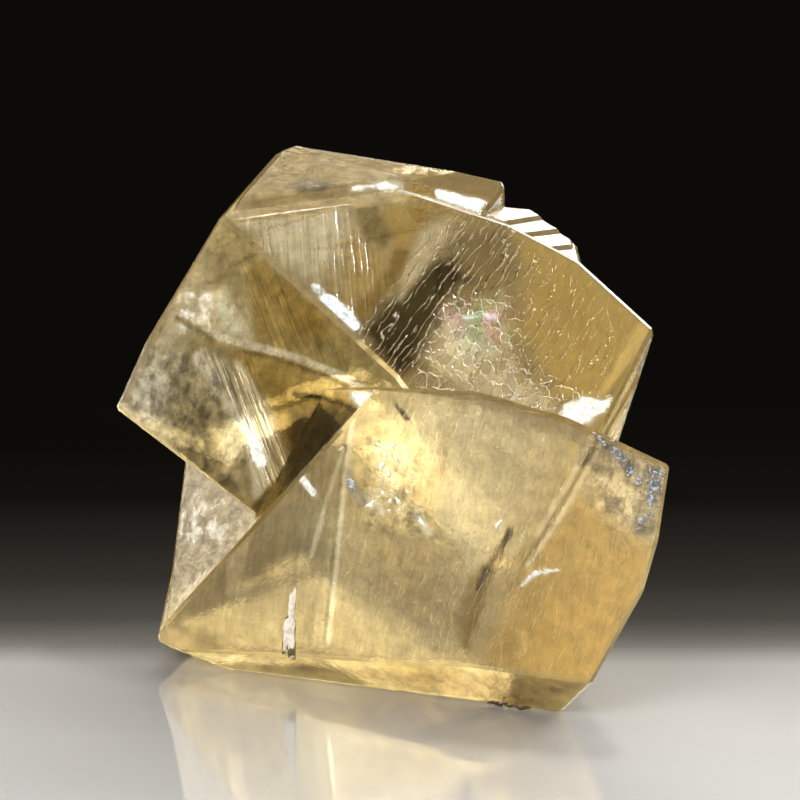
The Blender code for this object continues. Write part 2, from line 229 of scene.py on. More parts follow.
MARKS = {    # shape, tint, strength, softness or half width in mm, haze, outline in mm
    # The left face of the upper crystal: a pale glow, a hatched gold patch, and a dark wedge under a
    # long crack, with a bright curved band beside it and a mottled grey patch at its far side. The glow,
    # the bright band and the small white spots are painted light, and the dark wedge is painted shade
    "upper_left": [
        ("patch", (0.50, 0.44, 0.29), 0.90, 1.0, 0.15, [(-30, 15), (8, 15), (8, -25), (-30, -25)]),
        ("patch", PALE, 0.75, 1.2, 0.3,
         [(-19, 5), (-23, -4), (-27, -12), (-25, -11), (-21, -4), (-17.3, 4)]),
        ("patch", OLIVE, 0.75, 1.4, 0.3,
         [(-20.6, 4.2), (-18.9, 5.7), (-15, 4.9), (-10.7, 2.7), (-13.5, 1.9), (-17.4, 2.7)]),
        ("patch", PALE, 0.95, 1.6, 0.2,
         [(-22.8, -0.2), (-19.5, 1.9), (-15.8, 1.6), (-12.2, -0.8), (-11, -3), (-19.3, -3)]),
        ("bruise_and_glint", (0.95, 0.90, 0.74), 0.36, 1.6, 0.2,
         [(-22.8, -0.2), (-19.5, 1.9), (-15.8, 1.6), (-12.2, -0.8), (-11, -3), (-19.3, -3)]),
        ("patch", WHITE, 0.95, 1.2, 0.15, [(-17, 0.6), (-13.8, -0.3), (-11.6, -2.6), (-14.1, -2.3)]),
        ("patch", GOLD, 0.90, 1.2, 0.1,
         [(-13.4, 5.1), (-11.1, 4.8), (-1.2, -0.6), (2, -4.2), (-4.6, -3.4), (-9.8, -2.3), (-12, 1.2)]),
        ("stroke", BROWN, 0.85, 1.6, 0.1, [(-11, 4), (-6.5, 1.5), (-3.5, -0.8)]),
        ("stroke", BROWN, 0.60, 0.9, 0.1, [(-11.9, 3), (-10.6, 0.5), (-9.8, -2.5)]),
        ("patch", OLIVE, 0.85, 1.2, 0.1, [(-5.5, -1.8), (-0.4, -1.4), (2.3, -4), (-2.2, -3.5), (-4.8, -3)]),
        ("patch", (0.60, 0.58, 0.50), 0.85, 1.2, 0.4,
         [(-26, -12), (-24, -6.5), (-18.9, -5.6), (-14.3, -8.6), (-11.1, -12), (-9, -15), (-8.3, -19.8),
          (-15.4, -17.6), (-22.7, -14.4)]),
        ("bruise_and_glint", WHITE, 0.42, 2.0, 0.4,
         [(-27, -12.5), (-23.5, -5), (-20, 1), (-18.5, 0), (-20, -8.5), (-23, -13)]),
        ("patch", WHITE, 0.90, 1.5, 0.4, [(-25.5, -10.5), (-23.5, -7), (-21.5, -8.5), (-23, -13)]),
        ("patch", OLIVE, 0.75, 2.6, 0.4,
         [(-22.1, -6.6), (-18.6, -7), (-14.8, -10.5), (-11.7, -14), (-10.4, -17.9), (-13.4, -17.3),
          (-18.8, -13.8)]),
        ("patch", PALE, 0.60, 1.0, 0.4, [(-12.6, -13), (-10.9, -15.5), (-10.9, -17.9), (-12.6, -16.2)]),
        ("patch", GOLD, 0.85, 0.8, 0.1,
         [(-13.5, -4.6), (-4.5, -5), (2.6, -6.2), (2.5, -7.6), (-3.7, -9), (-7.1, -9)]),
        ("patch", BROWN, 0.95, 0.7, 0.1,
         [(-8.5, -7), (-3.5, -7), (3.2, -8.2), (-2.9, -16.4), (-5.2, -12.8), (-7.2, -9.8)]),
        ("patch", SMOKE_AND_SHADE, 0.95, 1.0, 0.1, [(-5, -9.5), (-1, -8.9), (3, -8.6), (-2.9, -16.4), (-4.6, -13)]),
        ("patch", PALE, 0.90, 0.6, 0.1,
         [(-17.5, -5.2), (-12.2, -5.5), (-9.5, -7.8), (-3.9, -15.9), (-6.9, -18.8), (-8.4, -14.5),
          (-11.8, -10)]),
        ("stroke", WHITE, 1.00, 0.90, 0.05,
         [(-17.6, -5.7), (-15, -8), (-12.3, -10.2), (-10, -12.3), (-8.7, -14.4), (-7.9, -16.5),
          (-7.4, -18.6)]),
        ("scar_and_glint", WHITE, 0.90, 0.80, 0.4, [(-9.2, -13.5), (-7.6, -15.6)]),
        ("stroke", SMOKE_AND_SHADE, 0.80, 0.60, 0.1, [(-7.2, -20.5), (-6, -18.7), (-4.2, -17)]),
        ("stroke", GOLD, 0.80, 0.45, 0.0, [(-17.7, -3.1), (-12.1, -3.9), (-5.2, -4.3), (2.6, -5.8)]),
        ("stroke", WHITE, 1.00, 0.40, 0.0,
         [(-19.5, -2.4), (-17.7, -2.9), (-12.1, -3.6), (-5.2, -4.0), (2.6, -5.5)]),
        ("stroke", SMOKE_AND_SHADE, 0.50, 0.22, 0.0,
         [(-12, -4.4), (-8.5, -4.4), (-5.2, -4.8), (-1, -5.5), (2.4, -6.1)]),
        ("stroke", OLIVE, 0.75, 0.35, 0.0, [(-21.4, -1.9), (-18.6, -2.8), (-16.5, -3.4)]),
        ("stroke", SMOKE_AND_SHADE, 1.00, 0.28, 0.0, [(-4.6, -7.9), (-1.5, -7.8), (1.4, -8.1), (3.6, -8.5)]),
        ("bruise_and_glint", WHITE, 1.00, 0.5, 0.6, [(2, -5.4), (4.4, -6), (5.3, -6.9), (4.2, -7.7), (2.8, -6.9)]),
    ],
    # The right face: a smooth pale side that ripples towards the ridge, a dark crackled zone with a
    # bright, faintly iridescent patch in it, and a clear gold side with sparse growth lines. The dark zone
    # is painted shade, and the bright patch and the blue-white glint by the ridge are painted light
    "upper_right": [
        ("patch", (1.0, 0.97, 0.86), 0.95, 1.5, 0.1,
         [(-17, 10), (-10, 12.5), (-5.2, 12), (-4.7, 8.3), (-7, 4.1), (-9.1, 2.1), (-11.7, 4.1)]),
        ("patch", OLIVE, 0.85, 0.7, 0.1, [(-4.4, 12), (-1.6, 11.9), (0, 7.9), (-1.2, 6.2), (-3.3, 7.1)]),
        ("patch", GOLD, 0.85, 0.8, 0.1, [(-1.4, 12.2), (4.2, 11.8), (2.6, 8.7), (0.7, 5.4), (-0.1, 7.1)]),
        ("patch", GOLD, 0.55, 1.6, 0.1, [(-4.5, 6.5), (-1.5, 5.5), (-0.8, 1.5), (-3.5, -3), (-5.5, 0.5)]),
        ("stroke", BROWN, 0.90, 1.0, 0.1, [(0.7, 4.8), (-0.9, 1.2), (-2.6, -1.3), (-3.7, -3.8)]),
        ("patch", (0.50, 0.46, 0.34), 0.95, 1.0, 0.1,
         [(-4, -5.7), (-1.1, -1), (3.2, 3.9), (6.5, 7.8), (11.3, 8), (13.5, 5.2), (13.8, 1.8), (11, -0.1),
          (7.8, -1.4), (5.8, -3.1), (4, -6.3), (2.2, -9.6), (0.2, -12.5), (-2, -9.8)]),
        ("patch", SMOKE_AND_SHADE, 1.00, 1.1, 0.1,
         [(-3.8, -5.4), (-0.2, -1.0), (3.2, 3.4), (6.5, 4.5), (7.5, 1.5), (5.2, -1.5), (4.5, -3.4),
          (2.8, -6.6), (0.9, -10.4), (-0.2, -11.7)]),
        ("patch", PALE, 0.95, 0.7, 0.2,
         [(2.8, 8.2), (6.3, 10.9), (5.5, 7), (3.7, 3.9), (0.3, -1.3), (1, 3.1)]),
        ("patch", PALE, 0.95, 0.9, 0.2,
         [(6.8, -3.1), (9, -1.5), (11.3, -1.5), (11.8, -5.6), (10.9, -8.6), (8.5, -9.7), (4.3, -10.2),
          (3.1, -9.3), (5.1, -5.5)]),
        ("bruise_and_glint", WHITE, 0.42, 1.4, 0.2, [(5.8, -3), (10.8, -2.2), (11, -8), (6, -9)]),
        ("patch", WHITE, 1.00, 1.4, 0.2, [(5.2, -3.8), (9.3, -5.4), (9.8, -8.3), (7.5, -8.6)]),
        ("patch", PALE, 0.75, 1.0, 0.2,
         [(0.6, -12.5), (3.2, -10.4), (11.1, -9.2), (16.7, -14.1), (15, -15.7), (8.3, -14), (3.1, -13.4)]),
        ("patch", (0.95, 0.83, 0.50), 0.95, 1.5, 0.1,
         [(12.9, 8.5), (20, 4), (29, -5.5), (29, -15), (20.8, -15.2), (16.3, -12.5), (13.2, -5.6),
          (14, 1.8)]),
        ("stroke", OLIVE, 0.75, 0.5, 0.1, [(21.2, -14.2), (22.5, -12.3), (25.4, -7.9)]),
        ("stroke", WHITE, 0.50, 0.35, 0.2, [(11, -0.1), (11.3, -5.6), (11.8, -9.7), (12.1, -14)]),
        ("scar_and_glint", (0.9, 0.96, 1.0), 0.95, 0.9, 0.4, [(-7.3, -1.2), (-6, -2.9), (-4.8, -4.7)]),
        ("scar_and_glint", (0.78, 0.90, 1.0), 0.45, 0.7, 0.4, [(-8.6, 0.4), (-7.1, -1.4)]),
        ("bruise_and_glint", WHITE, 1.00, 0.8, 0.6,
         [(16.1, -16.2), (17.3, -14.4), (19, -13.3), (20.6, -13.6), (21, -15.2), (19.4, -16.8),
          (17.5, -17.3)]),
        ("scar_and_glint", WHITE, 0.90, 0.7, 0.5, [(20.3, -15), (22.1, -13.7)]),
        ("bruise_and_glint", WHITE, 0.75, 0.5, 0.5, [(-4.5, 15.6), (1, 15.6), (1, 14.5), (-4.5, 14.5)]),
        ("patch", GOLD, 0.90, 0.5, 0.2, [(1.2, 15.4), (4.6, 14.8), (4.6, 12.8), (1.2, 13.4)]),
        ("bruise_and_glint", WHITE, 1.00, 0.5, 0.5,
         [(4.6, 14.6), (8.4, 13.4), (11, 12.4), (11.8, 10.3), (9, 10.8), (6.5, 12.2), (4.6, 13.2)]),
    ],
    # The top: tan, with a dark smudge and white crumbs of bruised calcite along its front edge
    "upper_top": [
        ("patch", (0.86, 0.76, 0.48), 0.90, 1.0, 0.3, [(-40, 40), (40, 40), (40, -40), (-40, -40)]),
        ("patch", OLIVE, 0.85, 1.0, 0.3,
         [(-12.2, 13.1), (-10.7, 14), (-7.4, 13.5), (-5.2, 12.5), (-7.3, 11.8), (-10.5, 11.9)]),
        ("bruise_and_glint", WHITE, 0.60, 0.7, 0.5,
         [(-4.5, 13.3), (-2.5, 13.9), (-0.4, 14.1), (1.0, 13.1), (-1.4, 12.6), (-4.1, 12.8)]),
        ("patch", GOLD, 0.90, 0.8, 0.1, [(1, 13.2), (4.5, 12.9), (4.6, 10.8), (1.1, 11.1)]),
        ("bruise_and_glint", (0.95, 0.82, 0.54), 0.55, 2.0, 0.3, [(0, 22), (14, 20), (14, 12.5), (5, 14), (0, 15)]),
    ],
    # The cleavage ledge and the riser beside it: freshly broken, so white, and the white partly stands for
    # the light they reflect from above, a painted highlight, with the riser in bright white powder
    "ledge": [("patch", WHITE, 1.0, 0.5, 0.6, [(-40, -40), (40, -40), (40, 40), (-40, 40)])],
    "riser": [("bruise_and_glint", WHITE, 0.8, 0.5, 0.6, [(-40, -40), (40, -40), (40, 40), (-40, 40)])],
    # The narrow right flank: pale
    "upper_side": [("bruise_and_glint", PALE, 0.55, 0.5, 0.3, [(-40, -40), (40, -40), (40, 40), (-40, 40)])],
    # The lower crystal's front: hazy, with a milky sheet in the middle, a darker gold side, a rough
    # white corner, an olive streak, and long straight traces down from the apex and the right edge,
    # and a painted glow with white glints over the healed fractures under the apex
    "lower_front": [
        ("patch", (0.42, 0.38, 0.27), 0.85, 2.0, 0.3,
         [(-20, -4), (-7.2, 10.9), (-2.3, 16.5), (-4.6, 3.7), (-6.4, -11.5), (-22.6, -12.5)]),
        ("patch", PALE, 0.55, 1.0, 0.4,
         [(-4.5, 14), (-3.2, 15), (-4.8, 0), (-6.2, -9.8), (-7.4, -9.8), (-6, 0)]),
        ("patch", (0.58, 0.53, 0.40), 0.80, 1.0, 0.5,
         [(-4.5, -0.5), (6.0, -3.5), (10.0, -8.5), (2.5, -10.5), (-5.5, -10.0)]),
        ("patch", GOLD, 0.80, 2.0, 0.3,
         [(22.4, 9.2), (32, 6), (27, -6.7), (24.7, -12.5), (14.7, -11.6), (12.2, -7.8), (16.4, 2.3)]),
        ("patch", BROWN, 0.20, 2.0, 0.2, [(11.9, -8.6), (17.5, -2.0), (21.0, -5.8), (23.4, -11.8)]),
        ("patch", PALE, 0.75, 1.2, 0.5, [(3.3, 17.6), (7.9, 18.5), (8.5, 15), (5.7, 10.4), (3.6, 13.4)]),
        ("patch", (0.70, 0.68, 0.58), 0.65, 0.5, 0.9,
         [(8.5, 17.5), (13, 19), (22, 18), (21.5, 13.5), (17, 4), (11.5, 0), (6.5, 5.5)]),
        ("bruise_and_glint", (0.80, 0.78, 0.72), 0.42, 1.6, 0.6,
         [(22, 16.5), (29.5, 15.5), (33, 14), (32.6, 10.5), (31.4, 4.5), (27, 6.5), (23, 10.4)]),
        ("bruise_and_glint", (0.92, 0.88, 0.76), 0.20, 1.6, 0.5,
         [(-3, 15), (3, 19), (22, 19), (21.5, 14.5), (8, 12), (5, 14)]),
        ("patch", (0.92, 0.90, 0.82), 0.60, 1.6, 0.9,
         [(23.6, 16.5), (29.5, 15.1), (32.6, 14), (32.3, 10.5), (31.4, 6.5), (28.1, 7.2), (24, 10.4)]),
        # Painted light: the glow over the cluster of healed fractures under the apex, with white strokes as
        # its glints
        ("patch", (0.80, 0.71, 0.47), 0.90, 1.2, 0.3,
         [(-2.6, 12.7), (1.2, 13.9), (4.5, 12.5), (4.9, 8.6), (2.8, 6.8), (5.6, 3.1), (1.7, 4.6), (-1, 4),
          (-2.7, 9.4)]),
        ("bruise_and_glint", (0.95, 0.86, 0.62), 0.36, 1.5, 0.3,
         [(-2.6, 12.9), (1.2, 14), (4.6, 12.7), (5, 8.6), (4.3, 6.8), (6, 3), (1.7, 3.6), (-1.5, 4),
          (-2.7, 9.4)]),
        ("patch", (1.0, 0.95, 0.78), 0.85, 1.2, 0.2,
         [(-1.2, 12), (1.5, 12.9), (3.2, 11.5), (2.2, 8.5), (0, 8.2)]),
        ("stroke", WHITE, 0.90, 0.6, 0.2, [(-1.4, 6.5), (0.2, 5.2)]),
        ("stroke", WHITE, 0.90, 0.6, 0.2, [(4.3, 5.4), (5.4, 3.8)]),
        ("stroke", PALE, 0.60, 1.0, 0.4, [(-20.0, 4.0), (-16.5, 2.5), (-17.5, -5.5)]),
        ("stroke", WHITE, 0.80, 0.30, 0.2, [(-3.5, 15.5), (-4.5, 6.0), (-6.0, -9.5)]),
        ("stroke", OLIVE, 0.80, 0.26, 0.1, [(-4.0, 15.0), (-5.0, 6.0), (-6.5, -9.5)]),
        ("stroke", WHITE, 0.70, 0.30, 0.2, [(-4.6, 11.5), (-6.6, 5.0), (-8.1, -0.5)]),
        ("stroke", OLIVE, 0.60, 0.26, 0.1, [(-5.1, 11.0), (-7.1, 5.0), (-8.6, -0.5)]),
        ("stroke", WHITE, 0.85, 0.35, 0.3, [(25.4, 16.3), (22.9, 11.4), (19.1, 4.8), (17.1, 1.8)]),
        ("stroke", WHITE, 0.70, 0.30, 0.3, [(24.3, 16.3), (21.8, 11.4), (18.0, 4.8)]),
        ("stroke", OLIVE, 0.80, 0.26, 0.0, [(24.9, 16.3), (22.4, 11.4), (18.6, 4.8), (16.6, 1.8)]),
        ("patch", BROWN, 0.95, 0.4, 0.1,
         [(15.4, 5.6), (14.5, 3.8), (14.2, 1.9), (12.9, -0.2), (12.2, -2.5), (11.4, -4.9), (10.4, -8.3),
          (9.9, -8.1), (10.4, -4.8), (10.6, -2.5), (11, -0.5), (12.4, 1.6), (13.7, 3.9)]),
        ("patch", BROWN, 0.60, 0.9, 0.1,
         [(12.5, 1), (13.5, -1), (12, -5.5), (10.2, -8.5), (9, -6), (10, -1)]),
        ("stroke", SMOKE_AND_SHADE, 0.90, 0.35, 0.0, [(14.9, 4.9), (13.5, 2.5), (12.3, 0.3), (11.5, -1.5)]),
        ("stroke", SMOKE_AND_SHADE, 1.00, 0.24, 0.0, [(1.7, 16.8), (2.2, 16.3), (3.0, 15.5)]),
        ("stroke", GREY, 0.60, 0.60, 0.7, [(-4.0, 9.0), (-3.4, 7.5), (-2.5, 6.0)]),
        ("stroke", GREY, 0.45, 0.80, 0.8, [(25.8, 15.4), (27.3, 14.3), (29.2, 12.6)]),
        ("stroke", GREY, 0.60, 0.80, 0.8, [(31.4, 12.5), (30.8, 9.5), (30.0, 7.0)]),
        ("scar_and_glint", WHITE, 0.90, 0.30, 0.3, [(16.5, -0.5), (18.0, 1.0), (20.5, 1.5)]),
        ("scar_and_glint", WHITE, 1.00, 0.50, 0.3, [(-9.3, 7.7), (-8.0, 6.3)]),
    ],
    # The bevel under the front: amber, darkened further as painted shade under the front, with a bruised
    # white edge
    "lower_bevel": [
        ("patch", (0.25, 0.20, 0.12), 0.95, 1.0, 0.2, [(-40, -20), (40, -20), (40, 20), (-40, 20)]),
        ("patch", PALE, 0.70, 1.5, 0.5, [(-22, -8), (-12, -6), (-12, 6), (-26, 6)]),
        ("stroke", SMOKE_AND_SHADE, 0.75, 1.0, 0.1, [(-11.5, 1.6), (-4, 0.6), (2.5, -0.4), (9.5, -1.6)]),
    ],
    # The lower crystal's left face: pale where it is free, dark with painted shade where it runs up along
    # the upper crystal, and a painted glint of white powder where the two meet
    "lower_left": [
        ("patch", WHITE, 0.75, 1.0, 0.5, [(-40, 20), (-8, 20), (-8, -40), (-40, -40)]),
        ("bruise_and_glint", PALE, 0.45, 2.5, 0.6,
         [(-36, 0.5), (-24.7, -0.5), (-12, -2.5), (-15, -6), (-24.4, -7), (-34, -5)]),
        ("patch", OLIVE, 0.35, 3.0, 0.4, [(-32, -11), (-24, -9.4), (-23, -16), (-30, -20)]),
        ("patch", BROWN, 1.00, 0.3, 0.1,
         [(-10.3, -2.2), (-5.3, 3.1), (4, 15.5), (-4, 15.5), (-13, 12), (-12.5, 0)]),
        ("patch", GOLD, 0.80, 0.5, 0.1, [(-10, 15), (-1.3, 15), (0.3, 12.9), (-10, 11.8)]),
        ("patch", SMOKE_AND_SHADE, 0.95, 0.9, 0.1,
         [(-9.5, 11.1), (-0.4, 11.9), (1.2, 12.6), (-5.6, 3.5), (-7.2, 1.4), (-9.8, 6.9)]),
        ("stroke", SMOKE_AND_SHADE, 1.00, 0.28, 0.0, [(-10.1, 11.9), (-5.9, 12.3), (-2.4, 12.3), (0.3, 12.0)]),
        ("bruise_and_glint", WHITE, 1.00, 0.5, 0.6,
         [(-1.9, 14.8), (0.7, 15.2), (3.9, 15.6), (2.2, 13.7), (0.8, 12.4), (-1.0, 12.9)]),
    ],
}
# Where each face is crackled by long healed cracks, crazed into small plates, fibrous and mottled:
# strength, softness in mm, outline in mm
CRACKLED = {
    "upper_right": [
        (1.0, 1.2,
         [(-5, -7), (-1, -1), (3, 7), (6.5, 10.5), (13, 8), (14.5, 0), (6, -1.5), (4, -6), (2, -10),
          (0, -13)]),
        (0.35, 2.0, [(6, -2), (13, -1), (13, -9), (22.5, -13), (16.5, -16.5), (0, -13), (4, -6)]),
        (0.50, 2.0, [(13.5, 6.5), (19.5, 2), (25, -6), (21.5, -12.5), (12.5, -9)]),
    ],
    "lower_front": [
        (0.22, 2.0, [(3, 18), (33, 18), (33, -12), (-5, -12), (-5, 0)]),
    ],
}
STREAKED = {
    "lower_front": [
        (0.16, 1.5, [(-40, -40), (40, -40), (40, 40), (-40, 40)]),
        (0.40, 2.0, [(-23, -3), (-10, 9), (-5, 12), (-6, -11), (-21, -11)]),
    ],
}
CRAZED = {
    "upper_right": [
        (1.0, 1.2, [(5, -1), (12.5, -1), (13, -9), (21, -14), (16.5, -16.5), (2, -12.5), (3, -8)]),
    ],
    "lower_front": [
        (0.9, 1.5, [(23, 16.5), (33, 14), (31.5, 5.5), (24, 8)]),
    ],
}
FIBROUS = {
    "upper_right": [
        (0.40, 1.5, [(-18, 11), (-10, 12.5), (-4.5, 11.5), (-2, 5.5), (0, 2), (-3.5, -5), (-5, -7)]),
    ],
    "upper_left": [
        (1.0, 0.8, [(-17.5, -5), (-11, -5.5), (-3.5, -16), (-7, -19), (-11.5, -11.5)]),
        (0.55, 1.5, [(-13.5, 5.5), (-10, 5), (2, -4.5), (-9.8, -3), (-13, 0)]),
    ],
}
MOTTLED = {
    "upper_left": [(1.0, 1.5, [(-27, -12), (-24, -5), (-18, -5), (-11.5, -11), (-8.3, -20), (-16, -19)]),
                   (0.45, 1.5, [(-30, 15), (6, 15), (6, -12), (-30, -12)])],
    "upper_right": [(0.25, 2.0, [(-20, 15), (0, 15), (0, -12), (-20, -12)])],
    "upper_top": [(0.45, 2.0, [(-40, -40), (40, -40), (40, 40), (-40, 40)])],
    "lower_front": [(0.32, 2.0, [(-40, -40), (40, -40), (40, 40), (-40, 40)]),
                    (0.90, 1.5, [(23, 16.5), (33, 14), (31.5, 5.5), (24, 8)]),
                    (1.00, 1.5,
                     [(-2.8, 13.8), (1.2, 14.5), (5, 13), (5.5, 8.6), (4.5, 6.8), (6.5, 2.5), (1.7, 3),
                      (-2, 3)])],
    "lower_left": [(0.70, 2.0, [(-40, -40), (40, -40), (40, 40), (-40, 40)])],
    "lower_bevel": [(0.50, 2.0, [(-40, -40), (40, -40), (40, 40), (-40, 40)])],
}


def reach_of(places, outline):
    """Distance of each place from a line through the outline's points, and whether it lies within."""
    start = np.array(outline)
    end = np.roll(start, -1, axis=0)
    along = end - start
    offset = places[:, None] - start
    share = np.clip((offset * along).sum(2) / np.maximum((along * along).sum(1), 1e-12), 0, 1)
    gap = np.linalg.norm(offset - share[..., None] * along, axis=2)
    rises = (start[:, 1] > places[:, None, 1]) != (end[:, 1] > places[:, None, 1])
    slope = along[:, 0] / np.where(along[:, 1] == 0, 1e-12, along[:, 1])
    crossed = rises & (places[:, None, 0] < start[:, 0] + (places[:, None, 1] - start[:, 1]) * slope)
    return gap, crossed.sum(1) % 2 == 1


stain = np.array(HONEY) + (np.array(PALE) - HONEY) * behind[:, None]
zones = np.clip(lattice(points, 9.0 * MM, 41) * 2.0 + 0.3, 0, 1) * (0.20 + 0.20 * behind)
stain += (np.array(GOLD) - stain) * zones[:, None]
clouds = 0.6 * lattice(points, 4.6 * MM, 43) + 0.4 * lattice(points, 1.9 * MM, 44)
stain *= (1 + 0.32 * clouds * behind)[:, None]
crackle = 0.12 * behind
streak = 0.12 * behind
craze = np.zeros(len(points))
fibre = np.zeros(len(points))
mottle = 0.24 - 0.10 * behind
bruise_and_glint = np.zeros(len(points))
lower = np.clip((28.0 * MM - points[:, 2]) / (6.0 * MM), 0, 1)
frost = 0.16 + 0.22 * lower + (0.62 - 0.12 * lower) * behind
ragged = 0.9 * lattice(points, 1.6 * MM, 21) + 0.5 * lattice(points, 0.7 * MM, 22)
for face_name, (middle, azimuth, elevation, distance, depth) in FACES.items():
    facing = looking(azimuth, elevation)
    level, uphill = face_axes(facing)
    from_middle = (points - middle) / MM
    on_face = (np.abs(from_middle @ facing - distance) < depth) & (normals @ facing > 0.985)
    rows = np.flatnonzero(on_face)
    mottle[rows] = 0
    places = np.stack((from_middle[rows] @ level, from_middle[rows] @ uphill), axis=1)
    for shape, colour, strength, softness, haze, outline in MARKS[face_name]:
        gap, within = reach_of(places, outline)
        if shape in ("patch", "bruise_and_glint"):
            signed = np.where(within, 1, -1) * gap.min(1) + 0.35 * softness * ragged[rows]
            share = np.clip(signed / softness * 0.5 + 0.5, 0, 1)
        else:
            share = np.clip(1.5 - gap[:, :-1].min(1) / softness + 0.30 * ragged[rows], 0, 1)
        share = (share * share * (3 - 2 * share) * strength)[:, None]
        stain[rows] += (np.array(colour) - stain[rows]) * share
        frost[rows] += (haze - frost[rows]) * share[:, 0]
        powdery = shape in ("bruise_and_glint", "scar_and_glint")
        bruise_and_glint[rows] += (powdery - bruise_and_glint[rows]) * share[:, 0]
    for values, areas in (
            (crackle, CRACKLED), (streak, STREAKED), (craze, CRAZED), (fibre, FIBROUS), (mottle, MOTTLED)):
        for strength, softness, outline in areas.get(face_name, []):
            gap, within = reach_of(places, outline)
            signed = np.where(within, 1, -1) * gap.min(1) + 0.35 * softness * ragged[rows]
            share = np.clip(signed / softness * 0.5 + 0.5, 0, 1)
            values[rows] = np.maximum(values[rows], share * share * (3 - 2 * share) * strength)
    if face_name == "upper_right":
        # Painted sheen: the pink and green that a thin gap under the face shows, like oil on water, painted
        # into the tint
        gap, within = reach_of(places, [(5.0, -2.5), (9.0, -1.0), (12.0, -3.0), (11.0, -8.0), (6.0, -7.0)])
        share = np.clip(np.where(within, 1, -1) * gap.min(1) / 1.4 * 0.5 + 0.5, 0, 1)[:, None] * 0.55
        swing = lattice(points[rows] * (1.0, 0.6, 1.0), 1.1 * MM, 31)[:, None]
        hue = np.where(swing > 0, (0.95, 0.62, 0.78), (0.62, 0.92, 0.66))
        stain[rows] += (hue - stain[rows]) * share * np.clip(np.abs(swing) * 2.5, 0, 1)

# Painted shade: near the edges, the faces that look downwards are darkened towards olive
underside_shade = (1 - inland) * np.clip(-normals[:, 2] * 4.0 - 0.4, 0, 1) * (1 - behind)
stain += (np.array(OLIVE) - stain) * 0.8 * underside_shade[:, None]

crystal_mesh.vertices.foreach_set("co", relief_points.ravel())
crystal_mesh.shade_smooth()
crystal_mesh.set_sharp_from_angle(angle=math.radians(14.0))
stain = np.column_stack((np.clip(stain, 0, 1), np.ones(len(stain))))
stain_attribute = crystal_mesh.attributes.new("stain", "FLOAT_COLOR", "POINT")
stain_attribute.data.foreach_set("color", stain.ravel())
for attribute_name, values in (
        ("frost", frost), ("crackle", crackle), ("streak", streak), ("craze", craze), ("fibre", fibre),
        ("mottle", mottle)):
    attribute = crystal_mesh.attributes.new(attribute_name, "FLOAT", "POINT")
    attribute.data.foreach_set("value", values)
crystal = bpy.data.objects.new("crystal", crystal_mesh)
bpy.context.scene.collection.objects.link(crystal)
print("crystal", len(crystal_mesh.polygons), "triangles")


def texture_group(name, outputs):
    """An empty node group that takes a place on the piece and gives the named values."""
    group = bpy.data.node_groups.new(name, "ShaderNodeTree")
    group.interface.new_socket("Vector", in_out="INPUT", socket_type="NodeSocketVector")
    for output in outputs:
        group.interface.new_socket(output, in_out="OUTPUT", socket_type="NodeSocketFloat")
    return group, group.nodes.new("NodeGroupInput"), group.nodes.new("NodeGroupOutput")


def turned_to(group, source, along, across, lengths):
    """The place, turned so that X runs along a direction in a face, and measured in lengths, in mm."""
    facing = np.cross(along, across)
    turn = group.nodes.new("ShaderNodeMapping")
    turn.inputs["Rotation"].default_value = Matrix((along, across, facing)).to_euler()
    group.links.new(source, turn.inputs["Vector"])
    measure = group.nodes.new("ShaderNodeVectorMath")
    measure.operation = "MULTIPLY"
    measure.inputs[1].default_value = [1.0 / (length * MM) for length in lengths]
    group.links.new(turn.outputs["Vector"], measure.inputs[0])
    return measure.outputs["Vector"]


def wandering(group, source, scale, amount):
    """The place, pushed about by noise, so that straight lines in it wander."""
    noise = group.nodes.new("ShaderNodeTexNoise")
    noise.noise_dimensions = "2D"
    noise.inputs["Scale"].default_value = scale
    noise.inputs["Detail"].default_value = 1.0
    group.links.new(source, noise.inputs["Vector"])
    push = group.nodes.new("ShaderNodeVectorMath")
    push.operation = "MULTIPLY_ADD"
    push.inputs[1].default_value = (amount, amount, amount)
    group.links.new(noise.outputs["Color"], push.inputs[0])
    group.links.new(source, push.inputs[2])
    return push.outputs["Vector"]


def crack_group():
    """Fine healed cracks: long wavy lines side by side, broken up by noise, dark and bright by turns, the
    bright ones painted glints.
    """
    group, entry, leave = texture_group("healed_cracks", ["Dark", "Bright"])
    facing = looking(2.0, 52.0)
    level, uphill = face_axes(facing)
    along = level * math.cos(math.radians(60)) + uphill * math.sin(math.radians(60))
    across = np.cross(facing, along)
    placed = turned_to(group, entry.outputs["Vector"], along, across, (3.2, 0.76, 2.5))
    breaks = group.nodes.new("ShaderNodeTexNoise")
    breaks.noise_dimensions = "2D"
    breaks.inputs["Scale"].default_value = 1.0
    breaks.inputs["Detail"].default_value = 1.0
    group.links.new(placed, breaks.inputs["Vector"])
    kept = group.nodes.new("ShaderNodeMapRange")
    kept.inputs["From Min"].default_value = 0.37
    kept.inputs["From Max"].default_value = 0.47
    group.links.new(breaks.outputs["Fac"], kept.inputs["Value"])
    for side, phase in (("Dark", 0.0), ("Bright", 0.75)):
        waves = group.nodes.new("ShaderNodeTexWave")
        waves.bands_direction = "Y"
        waves.inputs["Scale"].default_value = 0.314
        waves.inputs["Distortion"].default_value = 10.0
        waves.inputs["Detail"].default_value = 3.0
        waves.inputs["Detail Scale"].default_value = 2.8
        waves.inputs["Phase Offset"].default_value = phase
        group.links.new(placed, waves.inputs["Vector"])
        thin = group.nodes.new("ShaderNodeMapRange")
        thin.interpolation_type = "SMOOTHSTEP"
        thin.inputs["From Min"].default_value = 0.92
        thin.inputs["From Max"].default_value = 0.985
        group.links.new(waves.outputs["Fac"], thin.inputs["Value"])
        lines = group.nodes.new("ShaderNodeMath")
        lines.operation = "MULTIPLY"
        group.links.new(thin.outputs["Result"], lines.inputs[0])
        group.links.new(kept.outputs["Result"], lines.inputs[1])
        group.links.new(lines.outputs["Value"], leave.inputs[side])
    return group


